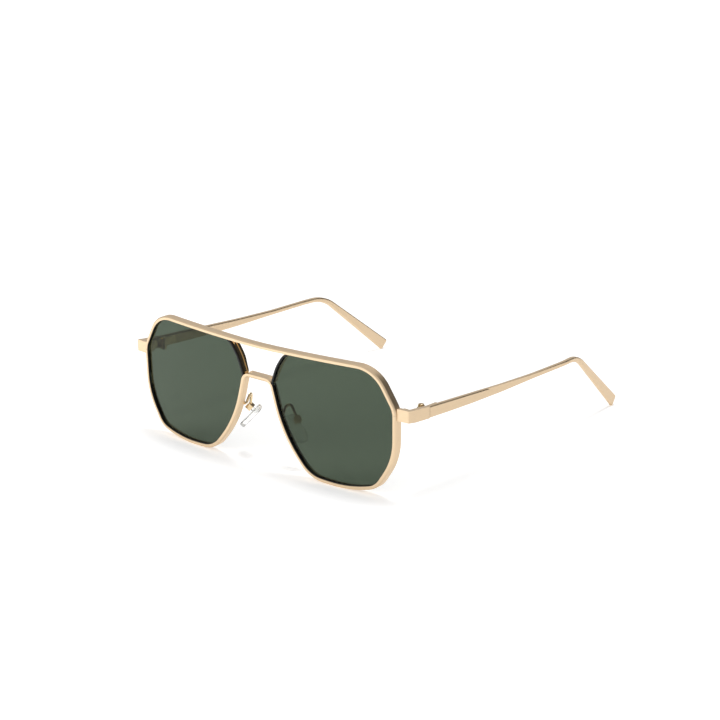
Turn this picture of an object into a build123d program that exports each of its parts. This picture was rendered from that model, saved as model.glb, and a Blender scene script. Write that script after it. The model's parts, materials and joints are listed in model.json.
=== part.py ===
"""Aviator sunglasses with a double bridge, open and standing on a table.

Units are millimetres. +X is to the wearer's left, +Y runs back to the ears and +Z is up.
The table is z = 0, the mid plane is x = 0 and y = 0 is halfway from the brow bar to the temple tips.
Each left piece is modelled, and its right twin is its mirror image.
"""

from build123d import *
import os
from math import cos, radians, sin

# ---- Driving dimensions -------------------------------------------------------------------
FRONT_Y = -76.13  # y of the front face at the mid plane
FRONT_Z = 25.45  # height of the lens datum line above the table
FRONT_TILT = 1.7  # forward lean of the front, in degrees
WRAP_R = 479.0  # radius of the curved front, seen from above

BAND_T = 1.4  # width of the front band, seen from the front
BAND_D = 3.1  # depth of the front band
BAND_BEVEL = 0.45  # bevel on its outer front edge
BRIDGE_D = 4.1  # depth of the nose bridge and of the lens bars
BRIDGE_HALF = 5.8  # half width of the deep part of the nose bridge
BRIDGE_CORNER_H = 11.3  # height of the nose bridge's upper edge, from the datum line
BROW_DIP_R = 400.0  # radius of the brow bar's dip at the mid plane

LENS_GROOVE = 0.45  # depth of the lens groove in the band
LENS_SEAT = 0.2  # how far the lens reaches into the groove
GROOVE_Y0, GROOVE_Y1 = 0.3, 2.3  # where the groove starts and ends, from the front face
LENS_Y0, LENS_Y1 = 1.0, 2.3  # front and back face of the lens
LINER_LIP = 0.2  # how far the liner shows in front of the lens
BAR_Y0 = 1.15  # front face of the lens bar
BAR_SKIN = 0.35  # wall of the lens bar beside the liner
BAR_LIP = 0.3  # how far the lens bar reaches in behind the lens
BAR_FLUTE_Y0, BAR_FLUTE_Y1 = 2.35, 2.85  # the flute that runs along the lens bar
BAR_FLUTE_D = 0.3
BAR_FOOT_D = 3.0  # depth of the lens bar at its lower end

OUTER_X = 70.5  # outer face of end piece and temple
END_PIECE_T = 1.9  # thickness of the end piece
SEAM_Y = 17.6  # joint of end piece and temple, from the front face
SEAM_GAP = 0.15
SPLIT_Z = 33.6  # height of the split in the rim
SPLIT_GAP = 0.08
LOCK_X, LOCK_Y = 65.7, 8.7  # axis of the rim lock screw, y from the front face
LOCK_SCREW_R, LOCK_HEAD_R = 0.45, 0.8
LOCK_H = 1.6  # height of each lock block

TEMPLE_T, TIP_T = 1.9, 1.4  # thickness of the temple at the hinge and at the tip
TEMPLE_EDGE_R = 0.6  # rounding of its long edges
STEP_DEPTH = 0.35  # height of the diagonal step on the temple's outer face

HINGE_X, HINGE_Y = 66.8, 17.0  # hinge axis, y from the front face
KNUCKLE_R, HINGE_PIN_R, HINGE_HEAD_R = 1.3, 0.6, 1.15
HINGE_CLEARANCE = 0.03
HINGE_HEAD_H = 0.6
KNUCKLE_Z = (30.5, 32.0, 33.6, 35.1)  # bottom of the hinge, two joints, top of the hinge
KNUCKLE_GAP = 0.06
LEAF_T = 1.0

PAD_O = (11.4, 10.0, 18.3)  # where the pad's lug leaves the pad, y from the front face
PAD_BACK = (0.644, -0.358, 0.676)  # from the nose towards the pad box
PAD_AFT = (0.361, 0.920, 0.144)  # along the pad towards the ear
PAD_T = 2.2
PAD_PIN_Z = 1.6  # pin axis above the pad's back
PAD_PIN_R = 0.35
PAD_CLEARANCE = 0.05
PAD_WIRE_R = 0.55

# ---- Working planes -----------------------------------------------------------------------
tilt_sin, tilt_cos = sin(radians(FRONT_TILT)), cos(radians(FRONT_TILT))
front_origin = (0, FRONT_Y, FRONT_Z)
front_plane = Plane(front_origin, x_dir=(1, 0, 0), z_dir=(0, -tilt_cos, -tilt_sin))
wrap_plane = Plane(front_origin, x_dir=(1, 0, 0), z_dir=(0, -tilt_sin, tilt_cos))
side_plane = Plane((0, FRONT_Y, 0), x_dir=(0, 1, 0), z_dir=(1, 0, 0))
plan_plane = Plane((0, FRONT_Y, 0), x_dir=(1, 0, 0), z_dir=(0, 0, 1))
pad_plane = Plane((PAD_O[0], PAD_O[1] + FRONT_Y, PAD_O[2]), x_dir=PAD_AFT, z_dir=PAD_BACK)

REACH = 30.0  # half the length of the tool solids that are cut to size later


def wrap_shell(near, far):
    """The solid between two depths behind the curved front face."""
    with BuildPart() as shell:
        with BuildSketch(wrap_plane.offset(-REACH)):
            with Locations((0, WRAP_R)):
                Circle(WRAP_R - near)
                Circle(WRAP_R - far, mode=Mode.SUBTRACT)
        extrude(amount=2 * REACH)
    return shell.part


def front_prism(sketch):
    """A front outline run straight through the front from face to back."""
    with BuildPart() as prism:
        with BuildSketch(front_plane):
            add(sketch)
        extrude(amount=REACH, both=True)
    return prism.part


def layer(sketch, near, far):
    """A front outline between two depths behind the front face."""
    prism, shell = front_prism(sketch), wrap_shell(near, far)
    with BuildPart() as piece:
        add(prism)
        add(shell, mode=Mode.INTERSECT)
    return piece.part


# ---- Outlines of the front, left half, with the radius that rounds each corner --------------
BAR_TOP = (14.5, 23.03)
BAR_MID = (10.2, 17.05)
TOP_OUTER = (55.45, 23.9)
SIDE_UPPER = (63.75, 9.6)
SIDE_LOWER = (63.4, -9.25)
BOTTOM_OUTER = (55.5, -21.35)
BOTTOM_MID = (43.35, -24.55)
BOTTOM_INNER = (25.6, -23.5)
NOSE_LOWER = (12.9, -9.0)
NOSE_UPPER = (7.6, 10.2)
BROW_SLOPE = (TOP_OUTER[1] - BAR_TOP[1]) / (TOP_OUTER[0] - BAR_TOP[0])
BROW_MID = (0, BAR_TOP[1] - BAR_TOP[0] * BROW_SLOPE)
NOSE_SLOPE = (NOSE_UPPER[0] - NOSE_LOWER[0]) / (NOSE_UPPER[1] - NOSE_LOWER[1])
BRIDGE_CORNER = (NOSE_UPPER[0] + NOSE_SLOPE * (BRIDGE_CORNER_H - NOSE_UPPER[1]), BRIDGE_CORNER_H)
CORNER_RADII = {
    BROW_MID: BROW_DIP_R,
    BAR_TOP: 6.0,
    BAR_MID: 20.0,
    TOP_OUTER: 12.5,
    SIDE_UPPER: 8.0,
    SIDE_LOWER: 25.0,
    BOTTOM_OUTER: 8.0,
    BOTTOM_MID: 55.0,
    BOTTOM_INNER: 12.8,
    NOSE_LOWER: 50.0,
    NOSE_UPPER: 4.0,
    BRIDGE_CORNER: 4.0,
}
RIM = [TOP_OUTER, SIDE_UPPER, SIDE_LOWER, BOTTOM_OUTER, BOTTOM_MID, BOTTOM_INNER, NOSE_LOWER]


def round_corners(outline, corner_radii):
    """Rounds each listed corner that the outline has, on either side of the mid plane."""
    for (x, y), radius in corner_radii.items():
        found = [v for v in outline.vertices() if abs(abs(v.X) - x) + abs(v.Y - y) < 0.01]
        if found:
            fillet(found, radius)


def mirrored(points):
    return [(-x, y) for x, y in reversed(points)]


with BuildSketch() as lens_opening:
    with BuildLine():
        Polyline(BAR_TOP, *RIM, NOSE_UPPER, BAR_MID, close=True)
    make_face()
    round_corners(lens_opening, CORNER_RADII)

# The hole of the front band: both lens openings and the window between the two bridges.
with BuildSketch() as band_opening:
    half = [*RIM, BRIDGE_CORNER]
    with BuildLine():
        Polyline(BROW_MID, *half, *mirrored(half), close=True)
    make_face()
    round_corners(band_opening, CORNER_RADII)

with BuildSketch() as band_outline:
    add(band_opening.sketch)
    offset(amount=BAND_T)


def lens_offset(amount):
    """The left lens opening, grown or shrunk."""
    with BuildSketch() as grown:
        add(lens_opening.sketch)
        offset(amount=amount)
    return grown.sketch


groove_outline = lens_offset(LENS_GROOVE)

# ---- Front band: brow bar, outer rims and nose bridge in one piece --------------------------
band_blank = layer(band_outline.sketch, 0, BAND_D)
band_hole = front_prism(band_opening.sketch)
groove = layer(groove_outline, GROOVE_Y0, GROOVE_Y1)

with BuildSketch() as bridge_outline:
    with BuildLine():
        Polyline((-BRIDGE_HALF, BRIDGE_CORNER_H), (BRIDGE_HALF, BRIDGE_CORNER_H),
                 (BRIDGE_HALF, BRIDGE_CORNER_H - BAND_T),
                 (-BRIDGE_HALF, BRIDGE_CORNER_H - BAND_T), close=True)
    make_face()
bridge_back = layer(bridge_outline.sketch, BAND_D - 0.5, BRIDGE_D)

with BuildPart() as front_band:
    add(band_blank)
    front_edges = front_band.faces().filter_by(GeomType.CYLINDER).sort_by(Axis.Y)[0].outer_wire().edges()
    chamfer(front_edges, BAND_BEVEL)
    add(band_hole, mode=Mode.SUBTRACT)
    add(groove, mode=Mode.SUBTRACT)
    add(mirror(groove, about=Plane.YZ, mode=Mode.PRIVATE), mode=Mode.SUBTRACT)
    add(bridge_back)
    with Locations((OUTER_X - 5, FRONT_Y + 6, SPLIT_Z), (5 - OUTER_X, FRONT_Y + 6, SPLIT_Z)):
        Box(6, 12, SPLIT_GAP, mode=Mode.SUBTRACT)

# The split leaves two solids, which the lens bars hold together.
with BuildPart() as lower_frame:
    add(front_band.solids().sort_by(Axis.Z)[0])
with BuildPart() as upper_frame:
    add(front_band.solids().sort_by(Axis.Z)[-1])

left = {}

# ---- Lens, its black liner and the polished bar at its upper inner side ---------------------
lens_space = layer(lens_offset(LENS_SEAT), LENS_Y0, LENS_Y1)
lip_space = layer(lens_offset(-LINER_LIP), GROOVE_Y0 - 1, LENS_Y0 + 0.1)

with BuildPart() as lens:
    add(lens_space)
left["lens"] = lens

with BuildPart() as lens_liner:
    add(groove)
    add(lip_space, mode=Mode.SUBTRACT)
    add(lens_space, mode=Mode.SUBTRACT)
left["lens_liner"] = lens_liner

with BuildSketch() as bar_zone:
    with BuildLine():
        Polyline((4.5, 10.2), (10.5, 10.2), (20.0, 24.2), (12.0, 24.2), (4.5, 14.0), close=True)
    make_face()
with BuildSketch() as bar_outline:
    add(lens_offset(LENS_GROOVE + BAR_SKIN))
    add(lens_offset(-BAR_LIP), mode=Mode.SUBTRACT)
    add(bar_zone.sketch, mode=Mode.INTERSECT)
with BuildSketch() as flute_outline:
    add(lens_offset(LENS_GROOVE + BAR_SKIN + 1))
    add(lens_offset(LENS_GROOVE + BAR_SKIN - BAR_FLUTE_D), mode=Mode.SUBTRACT)
bar_blank = layer(bar_outline.sketch, BAR_Y0, BRIDGE_D)
bar_flute = layer(flute_outline.sketch, BAR_FLUTE_Y0, BAR_FLUTE_Y1)

with BuildPart() as bar_taper:
    with BuildSketch(side_plane):
        with BuildLine():
            Polyline((BAR_FOOT_D, 34), (BRIDGE_D, 47), (BRIDGE_D + 3, 47), (BRIDGE_D + 3, 34), close=True)
        make_face()
    extrude(amount=REACH)

with BuildPart() as lens_bar:
    add(bar_blank)
    add(bar_taper.part, mode=Mode.SUBTRACT)
    add(groove, mode=Mode.SUBTRACT)
    add(bar_flute, mode=Mode.SUBTRACT)
    add(front_band.part, mode=Mode.SUBTRACT)
left["lens_bar"] = lens_bar

# ---- End piece: turns the corner from the front to the temple ------------------------------
seam_front, seam_back = SEAM_Y - SEAM_GAP / 2, SEAM_Y + SEAM_GAP / 2
inner_x = OUTER_X - END_PIECE_T

with BuildSketch(side_plane) as end_side:
    with BuildLine():
        Polyline((4.0, 36.35), (4.0, 31.75), (6.0, 31.7), (9.0, 31.2), (seam_front, 30.66),
                 (seam_front, 35.27), (8.5, 36.0), (6.0, 36.3), close=True)
    make_face()
with BuildPart() as end_piece:
    with BuildSketch(plan_plane):
        with BuildLine():
            Polyline((65.0, 4.95), (OUTER_X, 5.35), (OUTER_X, seam_front), (inner_x, seam_front),
                     (inner_x, 8.3), (67.4, 7.1), (65.0, 7.1), close=True)
        make_face()
    extrude(amount=2 * REACH)
    extrude(end_side.sketch, amount=3 * REACH, mode=Mode.INTERSECT)
    corner = end_piece.edges().filter_by(Axis.Z).filter_by(lambda e: e.center().X > OUTER_X - 0.1)
    fillet(corner.sort_by(Axis.Y)[0], 0.45)
    add(front_band.part, mode=Mode.SUBTRACT)
left["end_piece"] = end_piece

# ---- Rim lock: two blocks across the split, closed by a screw -------------------------------
lock_axis = (LOCK_X, LOCK_Y + FRONT_Y)
lock_levels = {
    "rim_lock_upper": (SPLIT_Z + SPLIT_GAP / 2, SPLIT_Z + LOCK_H),
    "rim_lock_lower": (SPLIT_Z - LOCK_H, SPLIT_Z - SPLIT_GAP / 2),
}
for name, (low, high) in lock_levels.items():
    with BuildPart() as block:
        with BuildSketch(Plane.XY.offset(low)):
            with Locations(lock_axis):
                Rectangle(2.6, 2.7)
        extrude(amount=high - low)
        fillet(block.edges().filter_by(Axis.Z).sort_by(Axis.Y)[-2:], 0.7)
        with Locations((*lock_axis, (low + high) / 2)):
            Cylinder(LOCK_SCREW_R, 2 * (high - low), mode=Mode.SUBTRACT)
        add(front_band.part, mode=Mode.SUBTRACT)
        add(end_piece.part, mode=Mode.SUBTRACT)
    left[name] = block

with BuildPart() as rim_lock_screw:
    foot = SPLIT_Z - LOCK_H
    with Locations((*lock_axis, foot)):
        Cylinder(LOCK_SCREW_R, 1.8 * LOCK_H, align=(Align.CENTER, Align.CENTER, Align.MIN))
    with Locations((*lock_axis, foot - 0.4)):
        Cylinder(LOCK_HEAD_R, 0.4, align=(Align.CENTER, Align.CENTER, Align.MIN))
    fillet(rim_lock_screw.edges().group_by(Axis.Z)[0], 0.2)
    with Locations((*lock_axis, foot - 0.4)):
        Box(0.25, 3, 0.4, mode=Mode.SUBTRACT)
left["rim_lock_screw"] = rim_lock_screw

# ---- Temple --------------------------------------------------------------------------------
# Corners of its side outline, y from the front face and z, with the radius that rounds each one.
temple_under = {(30, 30.1): 120, (44, 29.65): 200, (62, 29.4): 200, (84, 29.6): 200, (115.3, 29.5): 17}
temple_tip = {(149.95, -0.33): 0.8, (153.35, 3.4): 0.8}
temple_upper = {(116.4, 31.3): 19, (84, 31.55): 200, (62, 32.5): 200, (44, 33.65): 200}
temple_corners = {**temple_under, **temple_tip, **temple_upper}

with BuildSketch(side_plane) as temple_side:
    with BuildLine():
        Polyline((seam_back, 30.66), *temple_corners, (seam_back, 35.27), close=True)
    make_face()
    round_corners(temple_side, temple_corners)

tip_x = 62.7
temple_bends = {(OUTER_X - 0.8, 108): 60, (OUTER_X - 0.8 - TEMPLE_T, 106): 60}
with BuildSketch(plan_plane) as temple_plan:
    with BuildLine():
        Polyline((OUTER_X, seam_back), (OUTER_X - 0.8, 108), (tip_x, 154), (tip_x - TIP_T, 154),
                 (OUTER_X - 0.8 - TEMPLE_T, 106), (OUTER_X - TEMPLE_T, seam_back), close=True)
    make_face()
    round_corners(temple_plan, temple_bends)

# Behind a diagonal line the outer face is sunk a little, and rises again towards the ear.
with BuildPart() as temple_relief:
    with BuildSketch(plan_plane):
        with BuildLine():
            Polyline((OUTER_X - 0.3 - STEP_DEPTH, 50), (OUTER_X - 0.8, 104), (OUTER_X + 2, 104),
                     (OUTER_X + 2, 50), close=True)
        make_face()
    extrude(amount=2 * REACH)
    with BuildSketch(side_plane):
        with BuildLine():
            Polyline((51.6, 34.0), (62.0, 29.0), (110, 29.0), (110, 34.0), close=True)
        make_face()
    extrude(amount=3 * REACH, mode=Mode.INTERSECT)

with BuildPart() as temple:
    add(temple_plan.sketch)
    extrude(amount=2 * REACH)
    extrude(temple_side.sketch, amount=3 * REACH, mode=Mode.INTERSECT)
    fillet(temple.edges() - temple.edges().group_by(Axis.Y)[0], TEMPLE_EDGE_R)
    add(temple_relief.part, mode=Mode.SUBTRACT)
left["temple"] = temple

# ---- Hinge ---------------------------------------------------------------------------------
hinge_axis = (HINGE_X, HINGE_Y + FRONT_Y)
HINGE_BOTTOM, LOWER_JOINT, UPPER_JOINT, HINGE_TOP = KNUCKLE_Z
leaf_inner_x = inner_x - LEAF_T
LEAF_CLEAR_Y = 1.5  # how far behind the axis the temple leaf starts beside the other knuckles


def hinge_column(radius, low, high, mode):
    with Locations((*hinge_axis, low)):
        Cylinder(radius, high - low, align=(Align.CENTER, Align.CENTER, Align.MIN), mode=mode)


def slab(corner_a, corner_b, low, high, mode=Mode.ADD):
    """An upright block between two plan corners, given from the front face."""
    (xa, ya), (xb, yb) = corner_a, corner_b
    with Locations(((xa + xb) / 2, (ya + yb) / 2 + FRONT_Y, (low + high) / 2)):
        Box(abs(xb - xa), abs(yb - ya), high - low, mode=mode)


with BuildPart() as hinge_front_leaf:
    slab((leaf_inner_x, 10.5), (inner_x, HINGE_Y - 0.1), 31.3, 35.0)
    outer = ((HINGE_BOTTOM, LOWER_JOINT - KNUCKLE_GAP / 2), (UPPER_JOINT + KNUCKLE_GAP / 2, HINGE_TOP))
    for low, high in outer:
        hinge_column(KNUCKLE_R, low, high, Mode.ADD)
        slab((HINGE_X, 14.5), (inner_x, HINGE_Y - 0.1), max(low, 31.3), min(high, 35.0))
    hinge_column(KNUCKLE_R + 0.1, LOWER_JOINT - KNUCKLE_GAP / 2, UPPER_JOINT + KNUCKLE_GAP / 2, Mode.SUBTRACT)
    hinge_column(HINGE_PIN_R, HINGE_BOTTOM - 1, HINGE_TOP + 1, Mode.SUBTRACT)
    add(end_piece.part, mode=Mode.SUBTRACT)
left["hinge_front_leaf"] = hinge_front_leaf

with BuildPart() as hinge_temple_leaf:
    middle = (LOWER_JOINT + KNUCKLE_GAP / 2, UPPER_JOINT - KNUCKLE_GAP / 2)
    hinge_column(KNUCKLE_R, *middle, Mode.ADD)
    slab((HINGE_X, HINGE_Y + 0.1), (inner_x, HINGE_Y + 2.4), *middle)
    slab((leaf_inner_x, HINGE_Y + LEAF_CLEAR_Y), (inner_x, 24.5), 31.4, 34.6)
    hinge_column(HINGE_PIN_R + HINGE_CLEARANCE, HINGE_BOTTOM, HINGE_TOP, Mode.SUBTRACT)
    add(temple.part, mode=Mode.SUBTRACT)
    slab((inner_x - 0.02, HINGE_Y - 1), (inner_x + 1, seam_back), *middle, mode=Mode.SUBTRACT)
left["hinge_temple_leaf"] = hinge_temple_leaf

with BuildPart() as hinge_screw:
    hinge_column(HINGE_PIN_R, HINGE_BOTTOM - 0.2, HINGE_TOP, Mode.ADD)
    hinge_column(HINGE_HEAD_R, HINGE_TOP, HINGE_TOP + HINGE_HEAD_H, Mode.ADD)
    fillet(hinge_screw.edges().group_by(Axis.Z)[-1], 0.3)
    with Locations((*hinge_axis, HINGE_TOP + HINGE_HEAD_H)):
        Box(0.3, 3, 0.6, mode=Mode.SUBTRACT)
left["hinge_screw"] = hinge_screw

# ---- Nose pad, its box, pin and wire arm ----------------------------------------------------
PAD_TOP, PAD_BOTTOM, PAD_FORE, PAD_REAR = 3.8, -8.3, -4.8, 2.6
LUG_R, LUG_T = 0.75, 1.0
BOX_Z0, BOX_Z1 = 0.65, 3.1  # front and back of the box above the pad's back
BOX_W, BOX_H = 2.4, 2.8

with BuildPart() as nose_pad:
    with BuildSketch(pad_plane.offset(-PAD_T)):
        with BuildLine():
            Polyline((PAD_FORE, PAD_BOTTOM + 1.6), (PAD_FORE, PAD_TOP), (PAD_REAR - 1.2, PAD_TOP),
                     (PAD_REAR, PAD_BOTTOM), (-1.0, PAD_BOTTOM), close=True)
        make_face()
        fillet(vertices(), 2.0)
    extrude(amount=PAD_T)
    rims = nose_pad.edges().filter_by(
        lambda e: abs(pad_plane.to_local_coords(e.center()).Z + PAD_T / 2) > 0.6)
    fillet(rims, 0.85)
    with BuildSketch(pad_plane.offset(-0.3)):
        Rectangle(LUG_T, 2 * LUG_R)
    extrude(amount=PAD_PIN_Z + 0.3)
    pin_plane = Plane(pad_plane.from_local_coords((-LUG_T / 2, 0, PAD_PIN_Z)), x_dir=PAD_BACK, z_dir=PAD_AFT)
    with BuildSketch(pin_plane):
        Circle(LUG_R)
    extrude(amount=LUG_T)
    with BuildSketch(pin_plane.offset(-1)):
        Circle(PAD_PIN_R + PAD_CLEARANCE)
    extrude(amount=LUG_T + 2, mode=Mode.SUBTRACT)
left["nose_pad"] = nose_pad

with BuildPart() as box_blank:
    with BuildSketch(pad_plane.offset(BOX_Z0)):
        RectangleRounded(BOX_W, BOX_H, 0.4)
    extrude(amount=BOX_Z1 - BOX_Z0)

with BuildPart() as pad_box:
    add(box_blank.part)
    with BuildSketch(pad_plane):
        Rectangle(LUG_T + 0.2, 2 * LUG_R + 0.5)
    extrude(amount=PAD_PIN_Z + LUG_R + 0.15, mode=Mode.SUBTRACT)
    with BuildSketch(pin_plane.offset(-2)):
        Circle(PAD_PIN_R)
    extrude(amount=5, mode=Mode.SUBTRACT)
left["pad_box"] = pad_box

with BuildPart() as pad_pin:
    with BuildSketch(pin_plane.offset((LUG_T - BOX_W) / 2)):
        Circle(PAD_PIN_R)
    extrude(amount=BOX_W)
    with BuildSketch(pin_plane.offset((LUG_T + BOX_W) / 2)):
        Circle(0.65)
    extrude(amount=0.35)
left["pad_pin"] = pad_pin

arm_root = Vector(9.65, FRONT_Y + 3.05, FRONT_Z - 2.6)
arm_knee = Vector(9.7, FRONT_Y + 4.5, FRONT_Z - 2.4)
arm_crest = Vector(9.8, FRONT_Y + 7.6, FRONT_Z + 2.35)
arm_end = pad_plane.from_local_coords(Vector(0, BOX_H / 2 - 0.6, BOX_Z1 - 0.9))
with BuildPart() as pad_arm:
    with BuildLine() as arm_path:
        FilletPolyline(arm_root, arm_knee, arm_crest, arm_end, radius=(0.7, 1.6))
    with BuildSketch(Plane(arm_root, z_dir=arm_path.line % 0)):
        Circle(PAD_WIRE_R)
    sweep()
    add(front_band.part, mode=Mode.SUBTRACT)
    add(box_blank.part, mode=Mode.SUBTRACT)
left["pad_arm"] = pad_arm

# ---- Files ---------------------------------------------------------------------------------
os.makedirs("parts", exist_ok=True)
for name, piece in {"upper_frame": upper_frame, "lower_frame": lower_frame}.items():
    piece.part.label = name
    export_step(piece.part, f"parts/{name}.step")
for name, piece in left.items():
    piece.part.label = "left_" + name
    export_step(piece.part, f"parts/left_{name}.step")
    with BuildPart() as twin:
        mirror(piece.part, about=Plane.YZ)
    twin.part.label = "right_" + name
    export_step(twin.part, f"parts/right_{name}.step")
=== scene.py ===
"""The looks of the aviator sunglasses: camera, studio and materials. Every piece is the CAD frame's own."""

import json
import math

import bpy
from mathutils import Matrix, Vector

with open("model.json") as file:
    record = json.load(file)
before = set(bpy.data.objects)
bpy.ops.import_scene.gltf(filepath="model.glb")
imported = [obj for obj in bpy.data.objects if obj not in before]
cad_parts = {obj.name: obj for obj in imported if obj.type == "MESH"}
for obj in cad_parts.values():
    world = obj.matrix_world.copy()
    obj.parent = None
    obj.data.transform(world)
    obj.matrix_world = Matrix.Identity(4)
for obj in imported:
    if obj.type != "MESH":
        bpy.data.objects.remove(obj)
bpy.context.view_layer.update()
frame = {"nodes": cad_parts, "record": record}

MM = 0.001
FRONT_Y = -76.13 * MM  # the front face at the mid plane

# ---- Camera --------------------------------------------------------------------------------
CAMERA_AZIMUTH, CAMERA_ELEVATION = math.radians(40.17), math.radians(17.43)
CAMERA_LENS = 111.48
CAMERA_SPOT = Vector((553.5, -594.6 + 1000 * FRONT_Y, 297.9)) * MM


def make_camera():
    a, e = CAMERA_AZIMUTH, CAMERA_ELEVATION
    back = Vector((math.sin(a) * math.cos(e), -math.cos(a) * math.cos(e), math.sin(e)))
    data = bpy.data.cameras.new("camera")
    data.lens = CAMERA_LENS
    data.clip_start, data.clip_end = 0.01, 20
    camera = bpy.data.objects.new("camera", data)
    bpy.context.collection.objects.link(camera)
    camera.location = CAMERA_SPOT
    camera.rotation_mode = "QUATERNION"
    camera.rotation_quaternion = (-back).to_track_quat("-Z", "Y")
    bpy.context.scene.camera = camera


# ---- Studio --------------------------------------------------------------------------------
ROOM_GREY, DARK_GREY = 0.62, 0.04
DARK_SIDE = Vector((0.60, 0.76, 0.27)).normalized()  # the unlit side of the room, behind on the right
DARK_EDGE, DARK_CORE = math.cos(math.radians(50)), math.cos(math.radians(22))
PAPER_SIZE, PAPER_GREY, PAPER_GLOW = 8, 0.9, 0.33
KEY_FROM, KEY_WIDTH, KEY_POWER = (0.03, 0.17, 0.98), 16, 1.0
BOX_SPOT, BOX_TARGET, BOX_SIZE, BOX_POWER = (-0.55, -0.80, 0.25), (0, -0.05, 0.03), (0.5, 0.4), 5


def wide_sun(name, toward, degrees_wide, strength):
    """A soft light that falls evenly on the whole floor, from a direction."""
    data = bpy.data.lights.new(name, "SUN")
    data.angle = math.radians(degrees_wide)
    data.energy = strength
    lamp = bpy.data.objects.new(name, data)
    bpy.context.collection.objects.link(lamp)
    lamp.rotation_mode = "QUATERNION"
    lamp.rotation_quaternion = Vector(toward).to_track_quat("Z", "Y")


def soft_box(name, place, target, width, height, power):
    """A rectangular light that faces a target."""
    data = bpy.data.lights.new(name, "AREA")
    data.shape = "RECTANGLE"
    data.size, data.size_y = width, height
    data.energy = power
    lamp = bpy.data.objects.new(name, data)
    bpy.context.collection.objects.link(lamp)
    lamp.location = place
    lamp.rotation_mode = "QUATERNION"
    lamp.rotation_quaternion = (Vector(target) - Vector(place)).to_track_quat("-Z", "Y")


def make_studio():
    world = bpy.data.worlds.new("studio")
    world.use_nodes = True
    nodes, links = world.node_tree.nodes, world.node_tree.links
    place = nodes.new("ShaderNodeTexCoord")
    toward = nodes.new("ShaderNodeVectorMath")
    toward.operation = "DOT_PRODUCT"
    toward.inputs[1].default_value = DARK_SIDE
    fade = nodes.new("ShaderNodeMapRange")
    fade.interpolation_type = "SMOOTHSTEP"
    fade.inputs["From Min"].default_value, fade.inputs["From Max"].default_value = DARK_EDGE, DARK_CORE
    fade.inputs["To Min"].default_value, fade.inputs["To Max"].default_value = ROOM_GREY, DARK_GREY
    links.new(place.outputs["Generated"], toward.inputs[0])
    links.new(toward.outputs["Value"], fade.inputs["Value"])
    links.new(fade.outputs["Result"], nodes["Background"].inputs["Strength"])
    nodes["Background"].inputs["Color"].default_value = (1, 1, 1, 1)
    bpy.context.scene.world = world
    bpy.context.scene.view_settings.view_transform = "Standard"

    bpy.ops.mesh.primitive_plane_add(size=PAPER_SIZE, location=(0, 0, 0))
    floor = bpy.context.object
    floor.name = "floor"
    paper = bpy.data.materials.new("paper")
    paper.use_nodes = True
    shader = paper.node_tree.nodes["Principled BSDF"]
    shader.inputs["Base Color"].default_value = (*[PAPER_GREY] * 3, 1)
    shader.inputs["Roughness"].default_value = 0.9
    shader.inputs["Specular IOR Level"].default_value = 0.0
    shader.inputs["Emission Color"].default_value = (1, 1, 1, 1)
    shader.inputs["Emission Strength"].default_value = PAPER_GLOW
    floor.data.materials.append(paper)

    wide_sun("key", KEY_FROM, KEY_WIDTH, KEY_POWER)
    soft_box("front", BOX_SPOT, BOX_TARGET, *BOX_SIZE, BOX_POWER)


# ---- Materials -----------------------------------------------------------------------------
def new_material(name):
    material = bpy.data.materials.new(name)
    material.use_nodes = True
    return material, material.node_tree.nodes, material.node_tree.links


def gold(name, colour, roughness, brush, bump):
    """Pale gold, with fine scratches that run along the brushing direction."""
    material, nodes, links = new_material(name)
    shader = nodes["Principled BSDF"]
    shader.inputs["Metallic"].default_value = 1.0
    place = nodes.new("ShaderNodeTexCoord")
    stretch = nodes.new("ShaderNodeMapping")
    stretch.inputs["Scale"].default_value = brush
    noise = nodes.new("ShaderNodeTexNoise")
    noise.inputs["Scale"].default_value = 1.0
    noise.inputs["Detail"].default_value = 3.0
    links.new(place.outputs["Object"], stretch.inputs["Vector"])
    links.new(stretch.outputs["Vector"], noise.inputs["Vector"])

    shade = nodes.new("ShaderNodeValToRGB")
    shade.color_ramp.elements[0].position, shade.color_ramp.elements[1].position = 0.3, 0.7
    shade.color_ramp.elements[0].color = (*[c * 0.93 for c in colour], 1)
    shade.color_ramp.elements[1].color = (*colour, 1)
    links.new(noise.outputs["Fac"], shade.inputs["Fac"])
    links.new(shade.outputs["Color"], shader.inputs["Base Color"])

    gloss = nodes.new("ShaderNodeMapRange")
    gloss.inputs["To Min"].default_value = roughness * 0.85
    gloss.inputs["To Max"].default_value = roughness * 1.15
    links.new(noise.outputs["Fac"], gloss.inputs["Value"])
    links.new(gloss.outputs["Result"], shader.inputs["Roughness"])

    relief = nodes.new("ShaderNodeBump")
    relief.inputs["Strength"].default_value = bump
    relief.inputs["Distance"].default_value = 0.02 * MM
    links.new(noise.outputs["Fac"], relief.inputs["Height"])
    links.new(relief.outputs["Normal"], shader.inputs["Normal"])
    return material


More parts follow.
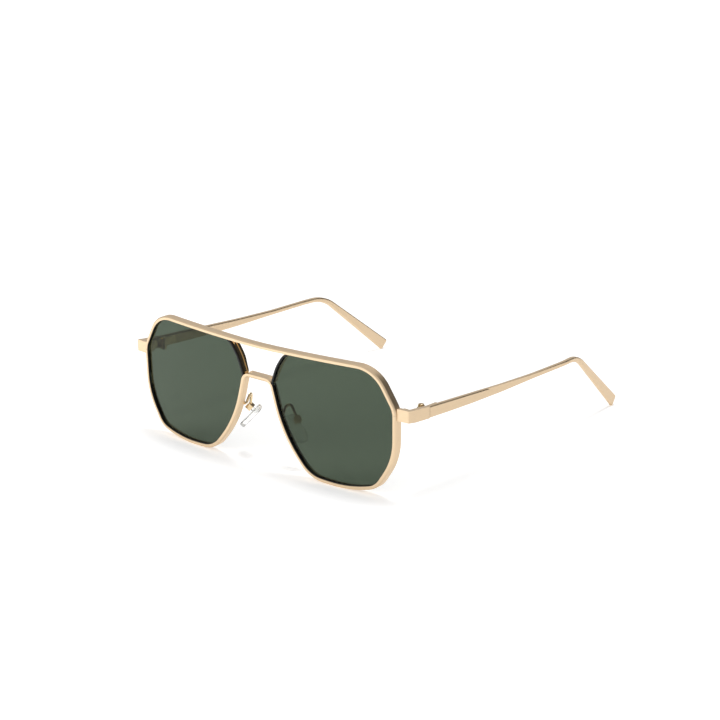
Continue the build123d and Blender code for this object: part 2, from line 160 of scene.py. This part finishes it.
def tinted_glass(name, colour, roughness, ior):
    material, nodes, links = new_material(name)
    shader = nodes["Principled BSDF"]
    shader.inputs["Transmission Weight"].default_value = 1.0
    shader.inputs["IOR"].default_value = ior
    shader.inputs["Roughness"].default_value = roughness
    place = nodes.new("ShaderNodeTexCoord")
    noise = nodes.new("ShaderNodeTexNoise")
    noise.inputs["Scale"].default_value = 12.0
    tint = nodes.new("ShaderNodeValToRGB")
    tint.color_ramp.elements[0].color = (*[c * 0.97 for c in colour], 1)
    tint.color_ramp.elements[1].color = (*[min(1.0, c * 1.03) for c in colour], 1)
    links.new(place.outputs["Object"], noise.inputs["Vector"])
    links.new(noise.outputs["Fac"], tint.inputs["Fac"])
    links.new(tint.outputs["Color"], shader.inputs["Base Color"])
    return material


# Black lens liner: its near-black is partly the liner's own colour and partly painted shade, standing in
# for the dark groove of the rim seen through the tinted lens.
def black_liner_and_painted_shade(name):
    material, nodes, links = new_material(name)
    shader = nodes["Principled BSDF"]
    shader.inputs["Specular IOR Level"].default_value = 0.3
    noise = nodes.new("ShaderNodeTexNoise")
    noise.inputs["Scale"].default_value = 4000.0
    gloss = nodes.new("ShaderNodeMapRange")
    gloss.inputs["To Min"].default_value = 0.4
    gloss.inputs["To Max"].default_value = 0.6
    links.new(noise.outputs["Fac"], gloss.inputs["Value"])
    links.new(gloss.outputs["Result"], shader.inputs["Roughness"])
    # Near-black base colour: partly the liner's own black, partly painted shade of the rim's groove behind
    # the lens.
    shader.inputs["Base Color"].default_value = (0.008, 0.008, 0.009, 1)
    return material


PALE_GOLD = (0.76, 0.585, 0.39)
materials = {
    "satin_gold": gold("satin_gold", PALE_GOLD, 0.40, (600, 600, 9000), 0.35),
    "polished_gold": gold("polished_gold", (0.80, 0.62, 0.38), 0.14, (1500, 1500, 1500), 0.1),
    "screw": gold("screw", (0.76, 0.59, 0.37), 0.22, (3000, 3000, 3000), 0.2),
    # black_liner: the ring round each lens, its black partly painted shade of the rim's groove behind the
    # lens.
    "black_liner": black_liner_and_painted_shade("black_liner"),
    "tinted_lens": tinted_glass("tinted_lens", (0.065, 0.088, 0.060), 0.0, 1.25),
    "clear_pad": tinted_glass("clear_pad", (0.95, 0.95, 0.93), 0.12, 1.42),
}


def dress_nodes():
    slots = {row["node"]: row["material_slot"] for row in frame["record"]["subparts"]}
    for name, node in frame["nodes"].items():
        node.data.materials.clear()
        node.data.materials.append(materials[slots[name]])


make_camera()
make_studio()
dress_nodes()
